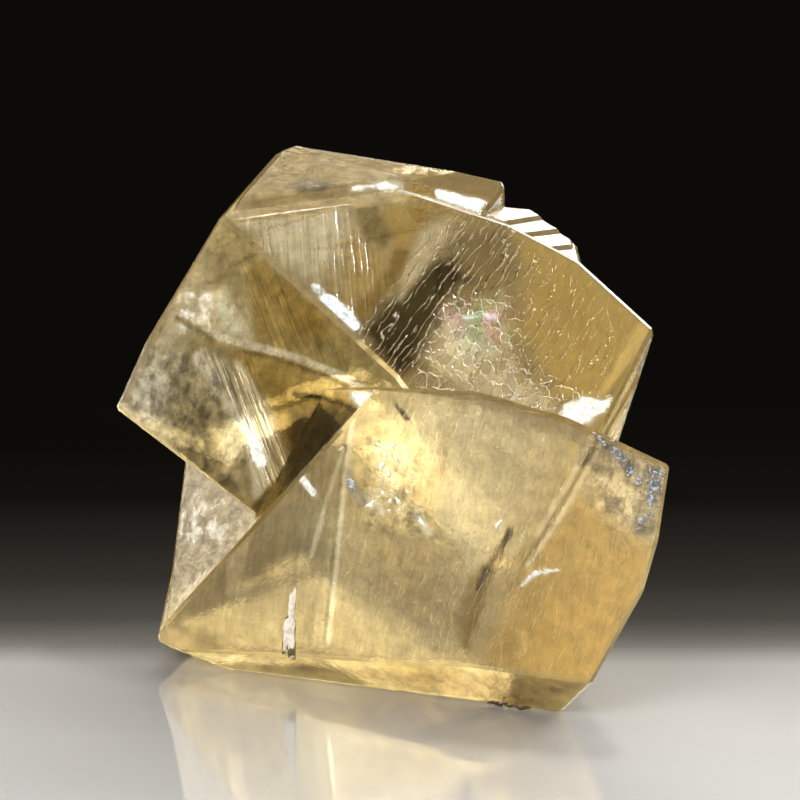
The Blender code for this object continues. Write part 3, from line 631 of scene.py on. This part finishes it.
def plate_group():
    """Crazing: small plates between cracks that meet. The lines between them, and a tone for each plate."""
    group, entry, leave = texture_group("crazed_plates", ["Lines", "Tone"])
    facing = looking(-10.0, 30.0)
    level, uphill = face_axes(facing)
    placed = turned_to(group, entry.outputs["Vector"], level, uphill, (1.1, 1.5, 2.0))
    wandered = wandering(group, placed, 1.4, 0.9)
    cells = group.nodes.new("ShaderNodeTexVoronoi")
    cells.voronoi_dimensions = "2D"
    cells.feature = "DISTANCE_TO_EDGE"
    cells.inputs["Scale"].default_value = 1.0
    group.links.new(wandered, cells.inputs["Vector"])
    thin = group.nodes.new("ShaderNodeMapRange")
    thin.interpolation_type = "SMOOTHSTEP"
    thin.inputs["From Min"].default_value = 0.07
    thin.inputs["From Max"].default_value = 0.0
    group.links.new(cells.outputs["Distance"], thin.inputs["Value"])
    group.links.new(thin.outputs["Result"], leave.inputs["Lines"])
    plates = group.nodes.new("ShaderNodeTexVoronoi")
    plates.voronoi_dimensions = "2D"
    plates.inputs["Scale"].default_value = 1.0
    group.links.new(wandered, plates.inputs["Vector"])
    tone = group.nodes.new("ShaderNodeSeparateColor")
    group.links.new(plates.outputs["Color"], tone.inputs["Color"])
    group.links.new(tone.outputs["Red"], leave.inputs["Tone"])
    return group


def fibre_group(name, facing, heading, lengths):
    """Fine straight fibres or streaks in a face: noise drawn out along a heading in it, in degrees."""
    group, entry, leave = texture_group(name, ["Height"])
    level, uphill = face_axes(facing)
    along = level * math.cos(math.radians(heading)) + uphill * math.sin(math.radians(heading))
    placed = turned_to(group, entry.outputs["Vector"], along, np.cross(facing, along), lengths)
    noise = group.nodes.new("ShaderNodeTexNoise")
    noise.noise_dimensions = "2D"
    noise.inputs["Scale"].default_value = 1.0
    noise.inputs["Detail"].default_value = 2.0
    group.links.new(placed, noise.inputs["Vector"])
    group.links.new(noise.outputs["Fac"], leave.inputs["Height"])
    return group


def pit_group():
    """Etch pits: a fine tooth a third of a millimetre wide, and a broader mottling of the same faces."""
    group, entry, leave = texture_group("etch_pits", ["Height", "Mottle"])
    for output, scale, detail in (("Height", 2300.0, 2.0), ("Mottle", 700.0, 3.0)):
        noise = group.nodes.new("ShaderNodeTexNoise")
        noise.inputs["Scale"].default_value = scale
        noise.inputs["Detail"].default_value = detail
        group.links.new(entry.outputs["Vector"], noise.inputs["Vector"])
        group.links.new(noise.outputs["Fac"], leave.inputs[output])
    return group


HEALED_CRACKS = crack_group()
CRAZED_PLATES = plate_group()
FIBRES = fibre_group("fibres", looking(-35.0, 14.5), -55.0, (9.0, 0.35, 1.0))
GROWTH_STREAKS = fibre_group("growth_streaks", looking(-25.0, 0.5), 83.0, (4.0, 0.55, 1.0))
ETCH_PITS = pit_group()


def calcite_material(name):
    """Clear honey calcite: refracting faces with a haze of their own, and colour that deepens inside."""
    material = bpy.data.materials.new(name)
    material.use_nodes = True
    tree = material.node_tree
    link = tree.links.new
    shader = tree.nodes["Principled BSDF"]
    shader.inputs["IOR"].default_value = 1.658
    shader.inputs["Transmission Weight"].default_value = 0.93
    place = tree.nodes.new("ShaderNodeTexCoord")
    textures = {}
    for group in (HEALED_CRACKS, CRAZED_PLATES, FIBRES, GROWTH_STREAKS, ETCH_PITS):
        textures[group.name] = tree.nodes.new("ShaderNodeGroup")
        textures[group.name].node_tree = group
        link(place.outputs["Object"], textures[group.name].inputs["Vector"])
    values = {}
    for attribute_name in ("stain", "frost", "crackle", "streak", "craze", "fibre", "mottle"):
        values[attribute_name] = tree.nodes.new("ShaderNodeAttribute")
        values[attribute_name].attribute_name = attribute_name

    def times(first, second):
        node = tree.nodes.new("ShaderNodeMath")
        node.operation = "MULTIPLY"
        for socket, value in zip(node.inputs, (first, second)):
            if isinstance(value, float):
                socket.default_value = value
            else:
                link(value, socket)
        return node.outputs["Value"]

    def blended(share, below, above, kind="MIX"):
        node = tree.nodes.new("ShaderNodeMix")
        node.data_type = "RGBA"
        node.blend_type = kind
        for socket, value in zip((node.inputs[0], node.inputs[6], node.inputs[7]), (share, below, above)):
            if isinstance(value, (float, tuple)):
                socket.default_value = value
            else:
                link(value, socket)
        return node.outputs[2]

    def ranged(value, low, high, to_low, to_high):
        node = tree.nodes.new("ShaderNodeMapRange")
        for socket, number in zip(list(node.inputs)[1:5], (low, high, to_low, to_high)):
            socket.default_value = number
        link(value, node.inputs["Value"])
        return node.outputs["Result"]

    crackled = values["crackle"].outputs["Fac"]
    crazed = values["craze"].outputs["Fac"]
    mottled = values["mottle"].outputs["Fac"]
    pits = textures["etch_pits"].outputs
    dark_sides = times(textures["healed_cracks"].outputs["Dark"], crackled)
    bright_sides = times(textures["healed_cracks"].outputs["Bright"], crackled)
    plate_lines = times(textures["crazed_plates"].outputs["Lines"], crazed)
    fibres = times(textures["fibres"].outputs["Height"], values["fibre"].outputs["Fac"])
    tint = values["stain"].outputs["Color"]
    for share, shade in (
            (mottled, ranged(pits["Mottle"], 0.34, 0.66, 0.45, 1.35)),
            (mottled, ranged(pits["Height"], 0.32, 0.68, 0.78, 1.22)),
            (values["streak"].outputs["Fac"],
             ranged(textures["growth_streaks"].outputs["Height"], 0.35, 0.65, 0.65, 1.25)),
            (values["fibre"].outputs["Fac"],
             ranged(textures["fibres"].outputs["Height"], 0.35, 0.65, 0.55, 1.30)),
            (crazed, ranged(textures["crazed_plates"].outputs["Tone"], 0.0, 1.0, 0.78, 1.18))):
        tint = blended(share, tint, blended(1.0, tint, shade, "MULTIPLY"))
    tint = blended(times(plate_lines, 0.45), tint, (0.30, 0.25, 0.15, 1))
    tint = blended(times(dark_sides, 0.75), tint, (0.16, 0.13, 0.07, 1))
    # Painted glints: the bright lines beside the dark healed cracks lighten the tint
    tint = blended(times(bright_sides, 0.80), tint, (1.0, 0.96, 0.84, 1))
    # Light passes a tinted face as the square root of its colour, so each tint is squared
    link(blended(1.0, tint, tint, "MULTIPLY"), shader.inputs["Base Color"])

    roughness = tree.nodes.new("ShaderNodeMapRange")
    roughness.inputs["To Min"].default_value = 0.05
    roughness.inputs["To Max"].default_value = 0.60
    link(values["frost"].outputs["Fac"], roughness.inputs["Value"])
    link(roughness.outputs["Result"], shader.inputs["Roughness"])

    height = times(times(pits["Height"], values["frost"].outputs["Fac"]), 0.12)
    for part, rise in ((bright_sides, 0.14), (plate_lines, -0.05), (fibres, 0.16)):
        node = tree.nodes.new("ShaderNodeMath")
        node.operation = "MULTIPLY_ADD"
        node.inputs[1].default_value = rise
        link(part, node.inputs[0])
        link(height, node.inputs[2])
        height = node.outputs["Value"]
    bump = tree.nodes.new("ShaderNodeBump")
    bump.inputs["Strength"].default_value = 1.0
    bump.inputs["Distance"].default_value = 0.001
    link(height, bump.inputs["Height"])
    link(bump.outputs["Normal"], shader.inputs["Normal"])

    depth = tree.nodes.new("ShaderNodeVolumeAbsorption")
    depth.inputs["Color"].default_value = (0.90, 0.815, 0.55, 1)
    depth.inputs["Density"].default_value = 36.0
    link(depth.outputs["Volume"], tree.nodes["Material Output"].inputs["Volume"])
    return material


crystal_mesh.materials.clear()
crystal_mesh.materials.append(calcite_material("honey_calcite"))
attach(crystal, "root")
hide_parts("twinned_calcite")


# Bruised spots: where the calcite was knocked or freshly broken its skin is crushed to white powder.
# The same powder is also laid where the crystal shows a bright glint, as a painted highlight.
# It is part of the crystal, a few hundredths of a millimetre thick, and thins out at its rim.
SKIN_RISE = 0.012 * MM
SKIN_DEPTH = 0.010 * MM


def skin_over(chosen):
    """A thin closed shell over these triangles: a copy raised off the face, one sunk in, and a wall."""
    used, local = np.unique(chosen, return_inverse=True)
    local = local.reshape(-1, 3)
    total = len(used)
    raised = relief_points[used] + normals[used] * SKIN_RISE
    sunk = relief_points[used] - normals[used] * SKIN_DEPTH
    start = local.ravel()
    end = np.roll(local, -1, axis=1).ravel()
    on_rim = ~np.isin(start * total + end, end * total + start)
    a, b = start[on_rim], end[on_rim]
    walls = [np.stack((b, a, a + total), axis=1), np.stack((b, a + total, b + total), axis=1)]
    return used, np.vstack((raised, sunk)), np.vstack([local, local[:, ::-1] + total] + walls)


def powder_material(name):
    """Crushed calcite, also used as painted glints: matt, the tint of its face, and patchy, so the crystal
    shows between the grains.
    """
    material = bpy.data.materials.new(name)
    material.use_nodes = True
    tree = material.node_tree
    shader = tree.nodes["Principled BSDF"]
    shader.inputs["Roughness"].default_value = 0.85
    place = tree.nodes.new("ShaderNodeTexCoord")
    pits = tree.nodes.new("ShaderNodeGroup")
    pits.node_tree = ETCH_PITS
    tree.links.new(place.outputs["Object"], pits.inputs["Vector"])
    stained = tree.nodes.new("ShaderNodeAttribute")
    stained.attribute_name = "stain"
    shade = tree.nodes.new("ShaderNodeMapRange")
    shade.inputs["From Min"].default_value = 0.3
    shade.inputs["From Max"].default_value = 0.7
    shade.inputs["To Min"].default_value = 0.7
    shade.inputs["To Max"].default_value = 1.1
    tree.links.new(pits.outputs["Height"], shade.inputs["Value"])
    shaded = tree.nodes.new("ShaderNodeMix")
    shaded.data_type = "RGBA"
    shaded.blend_type = "MULTIPLY"
    shaded.inputs[0].default_value = 1.0
    tree.links.new(stained.outputs["Color"], shaded.inputs[6])
    tree.links.new(shade.outputs["Result"], shaded.inputs[7])
    tree.links.new(shaded.outputs[2], shader.inputs["Base Color"])
    powder_share = tree.nodes.new("ShaderNodeAttribute")
    powder_share.attribute_name = "bruise_and_glint"
    grains = tree.nodes.new("ShaderNodeMath")
    grains.operation = "MULTIPLY_ADD"
    grains.inputs[1].default_value = 1.6
    tree.links.new(pits.outputs["Mottle"], grains.inputs[0])
    tree.links.new(powder_share.outputs["Fac"], grains.inputs[2])
    cover = tree.nodes.new("ShaderNodeMapRange")
    cover.inputs["From Min"].default_value = 1.15
    cover.inputs["From Max"].default_value = 1.55
    cover.inputs["To Max"].default_value = 0.72
    tree.links.new(grains.outputs["Value"], cover.inputs["Value"])
    tree.links.new(cover.outputs["Result"], shader.inputs["Alpha"])
    return material


used, skin_points, skin_triangles = skin_over(triangles[(bruise_and_glint[triangles] > 0.06).all(axis=1)])
skin_mesh = bpy.data.meshes.new("bruised_and_glinting_spots")
skin_mesh.from_pydata(skin_points, [], skin_triangles)
skin_mesh.shade_smooth()
skin_stain = skin_mesh.attributes.new("stain", "FLOAT_COLOR", "POINT")
skin_stain.data.foreach_set("color", np.vstack((stain[used], stain[used])).ravel())
skin_bruise_and_glint = skin_mesh.attributes.new("bruise_and_glint", "FLOAT", "POINT")
skin_bruise_and_glint.data.foreach_set("value", np.tile(bruise_and_glint[used], 2))
skin_mesh.materials.append(powder_material("powdered_calcite_and_glints"))
bruised_and_glinting_spots = bpy.data.objects.new("bruised_and_glinting_spots", skin_mesh)
bpy.context.scene.collection.objects.link(bruised_and_glinting_spots)
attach(bruised_and_glinting_spots, "root")
print("bruised_and_glinting_spots", len(skin_mesh.polygons), "triangles")


# Healed fractures under the front face of the lower crystal: thin flakes of gas and new calcite that
# catch the light, in two clusters below the crystal's apex and four loose ones. Each is a thin lens,
# matt white, and the white partly stands for the light the real flakes reflect: a painted highlight.
FLAKE_PLACES = [    # along the face, up it, half length, half width in mm, turn in degrees
    (-1.2, 5.9, 0.60, 0.25, 35.0),
    (4.8, 4.7, 0.60, 0.22, -50.0),
    (-8.5, 7.0, 0.70, 0.30, -50.0),
    (13.6, 5.6, 0.70, 0.20, 55.0),
]
FLAKE_CLUSTERS = [  # along the face, up it, reach along and up in mm, number
    (0.6, 11.0, 2.0, 1.8, 8),
    (2.0, 7.0, 1.8, 2.2, 6),
]


def lens(along, across, facing, centre, half_length, half_width, thickness, seed):
    """A thin closed lens: rings out from its middle, with a ragged rim, thickest in the middle.

    A ring at share r of the rim stands off the middle plane by thickness times (1 - r squared)."""
    rings, around = 7, 28
    share = np.linspace(0, 1, rings + 1)[1:]
    angle = np.arange(around) / around * 2 * math.pi
    rim = 1 + 0.28 * np.sin(angle * 3 + seed) + 0.16 * np.sin(angle * 7 + 2.3 * seed)
    flat_x = share[:, None] * (half_length * rim * np.cos(angle))
    flat_y = share[:, None] * (half_width * rim * np.sin(angle))
    ripple = 0.25 * np.sin(flat_x / half_width * 2.1 + seed) * np.sin(flat_y / half_width * 2.7)
    half = thickness / 2 * (1 - share[:, None] ** 2) * np.ones_like(angle)
    warp = ripple * half_width * 0.5 * share[:, None]
    top = np.stack((flat_x, flat_y, warp + half), axis=2).reshape(-1, 3)
    bottom = np.stack((flat_x, flat_y, warp - half), axis=2)[:-1].reshape(-1, 3)
    flat = np.vstack(((0, 0, thickness / 2), top, (0, 0, -thickness / 2), bottom)) * MM
    low = 1 + rings * around
    first = np.arange(around)
    after = (first + 1) % around
    faces = [(0, 1 + a, 1 + b) for a, b in zip(first, after)]
    faces += [(low, low + 1 + b, low + 1 + a) for a, b in zip(first, after)]
    for ring in range(rings - 1):
        inner, outer = 1 + ring * around, 1 + (ring + 1) * around
        faces += [(inner + a, outer + a, outer + b, inner + b) for a, b in zip(first, after)]
        inner = low + 1 + ring * around
        outer = low + 1 + (ring + 1) * around if ring < rings - 2 else 1 + (rings - 1) * around
        faces += [(inner + b, outer + b, outer + a, inner + a) for a, b in zip(first, after)]
    return centre + flat @ np.stack((along, across, facing)), faces


def joined(name, parts, material):
    """One object out of several closed surfaces, each given as its points and faces."""
    all_points, all_faces, count = [], [], 0
    for part_points, part_faces in parts:
        all_points.append(part_points)
        all_faces += [tuple(int(index) + count for index in face) for face in part_faces]
        count += len(part_points)
    mesh = bpy.data.meshes.new(name)
    mesh.from_pydata(np.vstack(all_points), [], all_faces)
    mesh.shade_smooth()
    mesh.materials.append(material)
    piece = bpy.data.objects.new(name, mesh)
    bpy.context.scene.collection.objects.link(piece)
    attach(piece, "root")
    return piece


def mineral(name, colour, second_colour, roughness, scale, bump_height):
    """A dull mineral: two colours mixed by noise of one size, with the same noise as its relief."""
    material = bpy.data.materials.new(name)
    material.use_nodes = True
    tree = material.node_tree
    shader = tree.nodes["Principled BSDF"]
    shader.inputs["Roughness"].default_value = roughness
    place = tree.nodes.new("ShaderNodeTexCoord")
    noise = tree.nodes.new("ShaderNodeTexNoise")
    noise.inputs["Scale"].default_value = scale
    noise.inputs["Detail"].default_value = 3.0
    tree.links.new(place.outputs["Object"], noise.inputs["Vector"])
    ramp = tree.nodes.new("ShaderNodeValToRGB")
    ramp.color_ramp.elements[0].position = 0.38
    ramp.color_ramp.elements[0].color = (*colour, 1)
    ramp.color_ramp.elements[1].position = 0.62
    ramp.color_ramp.elements[1].color = (*second_colour, 1)
    tree.links.new(noise.outputs["Fac"], ramp.inputs["Fac"])
    tree.links.new(ramp.outputs["Color"], shader.inputs["Base Color"])
    bump = tree.nodes.new("ShaderNodeBump")
    bump.inputs["Distance"].default_value = bump_height
    tree.links.new(noise.outputs["Fac"], bump.inputs["Height"])
    tree.links.new(bump.outputs["Normal"], shader.inputs["Normal"])
    return material


front_facing = looking(-25.0, 0.5)
front_level, front_uphill = face_axes(front_facing)
front_planes = [(looking(-27.0, 2.0), 8.5), (looking(-22.0, -1.0), 9.9)]


def on_front(right, up, under):
    """The point on the lower crystal's front at that place, that far under its surface, in mm."""
    in_face = right * front_level + up * front_uphill
    out = min((distance - in_face @ facing) / (front_facing @ facing) for facing, distance in front_planes)
    return LOWER_MIDDLE + (in_face + (out - under) * front_facing) * MM


flakes = []
dice = np.random.default_rng(5)
for right, up, reach_right, reach_up, amount in FLAKE_CLUSTERS:
    for place in dice.normal(0, 0.5, (amount, 2)):
        size = 0.16 + 0.26 * dice.random() ** 2
        FLAKE_PLACES.append((right + place[0] * reach_right, up + place[1] * reach_up,
                             size * 1.2, size, 180 * dice.random()))
for number, (right, up, half_length, half_width, turn) in enumerate(FLAKE_PLACES):
    turned = math.radians(turn)
    along = math.cos(turned) * front_level + math.sin(turned) * front_uphill
    across = np.cross(front_facing, along)
    middle = on_front(right, up, 0.03)
    flakes.append(lens(along, across, front_facing, middle, half_length, half_width, 0.14, number))
fracture_white_and_glint = mineral("fracture_white_and_glint", (1.0, 1.0, 0.97), (1.0, 0.97, 0.86), 0.35, 900.0, 0.0001)
joined("healed_fractures", flakes, fracture_white_and_glint)


# A splinter of fibrous white calcite that stands a little proud of the front face at its lower left.
splinter_along = math.cos(math.radians(86)) * front_level + math.sin(math.radians(86)) * front_uphill
splinter = lens(splinter_along, np.cross(front_facing, splinter_along), front_facing,
                on_front(-10.6, -8.8, 0.05), 3.7, 0.75, 0.55, 2.0)
fibrous_white = mineral("fibrous_white", (0.93, 0.86, 0.74), (0.72, 0.62, 0.50), 0.5, 2200.0, 0.0002)
joined("fibrous_splinter", [splinter], fibrous_white)


# Crumbs of the grey rock that the crystal grew on, caught in its upper right corner and beside the
# bright cluster, and one dark crust under its front edge. Each crumb is a lumpy, flattened ball.
CRUMB_PATCHES = [   # along the face, up it, half length, half width in mm, turn, number of crumbs
    (26.4, 15.0, 2.0, 0.7, -38.0, 30),
    (28.6, 12.9, 1.6, 0.8, -45.0, 26),
    (30.7, 11.2, 0.8, 2.4, -10.0, 60),
    (29.6, 7.4, 0.9, 0.8, 0.0, 18),
    (-3.4, 7.8, 0.5, 1.7, 10.0, 16),
]


def crumb(centre, size, facing, seed):
    """A ball of rings and ribs, each point pushed in or out by sines of its angles, then flattened."""
    ribs, rings = 9, 6
    turn = np.arange(ribs) / ribs * 2 * math.pi
    lift = (np.arange(rings - 1) + 1) / rings * math.pi
    lift = lift[:, None]
    push = 1 + 0.28 * np.sin(3 * turn + seed * 1.7 + 2 * lift) + 0.2 * np.cos(5 * lift + seed + turn)
    ball = np.stack((np.sin(lift) * np.cos(turn) * push, np.sin(lift) * np.sin(turn) * push,
                     np.cos(lift) * push), axis=2).reshape(-1, 3)
    ball = np.vstack((ball, (0, 0, 1), (0, 0, -1)))
    level, uphill = face_axes(facing)
    spread = size * np.array((1.0, 0.75 + 0.2 * math.sin(seed), 0.30))
    top, bottom = len(ball) - 2, len(ball) - 1
    faces = [(top, rib, (rib + 1) % ribs) for rib in range(ribs)]
    low = (rings - 2) * ribs
    faces += [(bottom, low + (rib + 1) % ribs, low + rib) for rib in range(ribs)]
    for ring in range(rings - 2):
        faces += [(ring * ribs + rib, (ring + 1) * ribs + rib, (ring + 1) * ribs + (rib + 1) % ribs,
                   ring * ribs + (rib + 1) % ribs) for rib in range(ribs)]
    return centre + (ball * spread * MM) @ np.stack((level, uphill, facing)), faces


dice = np.random.default_rng(7)
crumbs = []
for right, up, half_length, half_width, turn, amount in CRUMB_PATCHES:
    for place in dice.normal(0, 0.5, (amount, 2)):
        turned = math.radians(turn)
        step_right = place[0] * half_length * math.cos(turned) - place[1] * half_width * math.sin(turned)
        step_up = place[0] * half_length * math.sin(turned) + place[1] * half_width * math.cos(turned)
        size = 0.14 + 0.16 * dice.random()
        middle = on_front(right + step_right, up + step_up, 0.04)
        crumbs.append(crumb(middle, size, front_facing, dice.random() * 6))
grey_rock = mineral("grey_rock", (0.22, 0.235, 0.27), (0.60, 0.62, 0.66), 0.40, 2500.0, 0.0002)
joined("rock_crumbs", crumbs, grey_rock)

crust = []
for share in np.linspace(0, 1, 16):
    place = np.array((11.2 + 3.8 * share, -13.5 - 2.0 * share, 0.35 + 0.12 * math.sin(share * 21))) * MM
    crust.append(crumb(place, 0.26 + 0.14 * dice.random(), np.array((0.0, -0.6, -0.8)), dice.random() * 6))
dark_crust = mineral("dark_crust", (0.045, 0.030, 0.018), (0.20, 0.14, 0.08), 0.7, 2500.0, 0.0002)
joined("dark_crust", crust, dark_crust)


# The table: a pale glossy top under and before the crystal, which falls off into a dark room behind.
# One level sheet, so the fall-off of the light is painted into its colour: painted light in front that
# goes over to painted shade with the depth on the table.
TABLE_LOW = (-1.5, -0.9)
TABLE_HIGH = (1.5, 0.115)
# Painted light: the colours fall from pale to near black, standing in for the light dying away behind the
# crystal
TABLE_PAINTED_FALLOFF = [     # depth on the table, from the middle of the crystals' foot backwards, in m, and colour
    (-0.0600, (0.365, 0.362, 0.358)),
    (-0.0240, (0.350, 0.346, 0.340)),
    (-0.0110, (0.295, 0.290, 0.282)),
    (0.0010, (0.250, 0.245, 0.236)),
    (0.0045, (0.180, 0.174, 0.165)),
    (0.0080, (0.106, 0.101, 0.094)),
    (0.0120, (0.065, 0.061, 0.056)),
    (0.0180, (0.033, 0.031, 0.028)),
    (0.0335, (0.0145, 0.0130, 0.0115)),
    (0.0510, (0.0072, 0.0064, 0.0056)),
    (0.0690, (0.0022, 0.0019, 0.0016)),
    (0.1000, (0.0010, 0.0008, 0.0006)),
]
table_mesh = bpy.data.meshes.new("table")
table_mesh.from_pydata(
    [(TABLE_LOW[0], TABLE_LOW[1], 0), (TABLE_HIGH[0], TABLE_LOW[1], 0),
     (TABLE_HIGH[0], TABLE_HIGH[1], 0), (TABLE_LOW[0], TABLE_HIGH[1], 0)], [], [(0, 1, 2, 3)])
table = bpy.data.objects.new("table", table_mesh)
bpy.context.scene.collection.objects.link(table)
table_material = bpy.data.materials.new("table_gloss_painted_falloff")
table_material.use_nodes = True
tree = table_material.node_tree
place = tree.nodes.new("ShaderNodeTexCoord")
parts = tree.nodes.new("ShaderNodeSeparateXYZ")
tree.links.new(place.outputs["Object"], parts.inputs["Vector"])
table_from, table_to = TABLE_PAINTED_FALLOFF[0][0], TABLE_PAINTED_FALLOFF[-1][0]
depth_share = tree.nodes.new("ShaderNodeMapRange")
depth_share.inputs["From Min"].default_value = table_from
depth_share.inputs["From Max"].default_value = table_to
tree.links.new(parts.outputs["Y"], depth_share.inputs["Value"])
painted_falloff = tree.nodes.new("ShaderNodeValToRGB")
stops = painted_falloff.color_ramp.elements
stops.remove(stops[1])
for number, (depth, tone) in enumerate(TABLE_PAINTED_FALLOFF):
    share = (depth - table_from) / (table_to - table_from)
    stop = stops[0] if number == 0 else stops.new(share)
    stop.position = share
    stop.color = (*tone, 1)
tree.links.new(depth_share.outputs["Result"], painted_falloff.inputs["Fac"])
tree.links.new(painted_falloff.outputs["Color"], tree.nodes["Principled BSDF"].inputs["Base Color"])
tree.nodes["Principled BSDF"].inputs["Roughness"].default_value = 0.05
tree.nodes["Principled BSDF"].inputs["IOR"].default_value = 1.75
table_mesh.materials.append(table_material)


# The light: large soft panels behind the crystal on both sides and above it, a small low lamp behind
# it whose glow comes up through the lower crystal, a glint from above, and a broad soft one in front.
def panel(name, place, aim, size, power, colour):
    """One soft rectangular lamp that looks from its place at a point."""
    data = bpy.data.lights.new(name, "AREA")
    data.shape = "RECTANGLE"
    data.size, data.size_y = size
    data.energy = power
    data.color = colour
    lamp = bpy.data.objects.new(name, data)
    lamp.location = place
    lamp.rotation_euler = (Vector(aim) - Vector(place)).to_track_quat("-Z", "Y").to_euler()
    lamp.visible_camera = False
    bpy.context.scene.collection.objects.link(lamp)
    return lamp


panel("back_top_panel", (0.10, 0.42, 0.42), (0, 0, 0.03), (0.50, 0.34), 5.6, (1.0, 0.98, 0.94))
panel("back_right_panel", (0.34, 0.22, 0.22), (0, 0, 0.03), (0.14, 0.22), 2.2, (1.0, 0.97, 0.90))
panel("back_left_panel", (-0.40, 0.22, 0.16), (0, 0, 0.03), (0.14, 0.30), 1.8, (1.0, 0.98, 0.94))
low_glow = panel("low_glow", (0.03, 0.15, 0.055), (0, 0, 0.03), (0.15, 0.09), 0.27, (1.0, 0.98, 0.92))
low_glow.visible_glossy = False
panel("top_glint", (0.12, 0.10, 0.50), (0, 0, 0.03), (0.05, 0.05), 1.2, (1.0, 0.99, 0.97))
panel("front_panel", (-0.30, -0.60, 0.50), (0, 0, 0.0), (0.4, 0.4), 8.0, (1.0, 0.98, 0.95))

world = bpy.data.worlds.new("room")
world.use_nodes = True
world.node_tree.nodes["Background"].inputs["Color"].default_value = (0.004, 0.0033, 0.0026, 1)
bpy.context.scene.world = world
bpy.context.scene.view_settings.view_transform = "Standard"
bpy.context.scene.view_settings.look = "None"
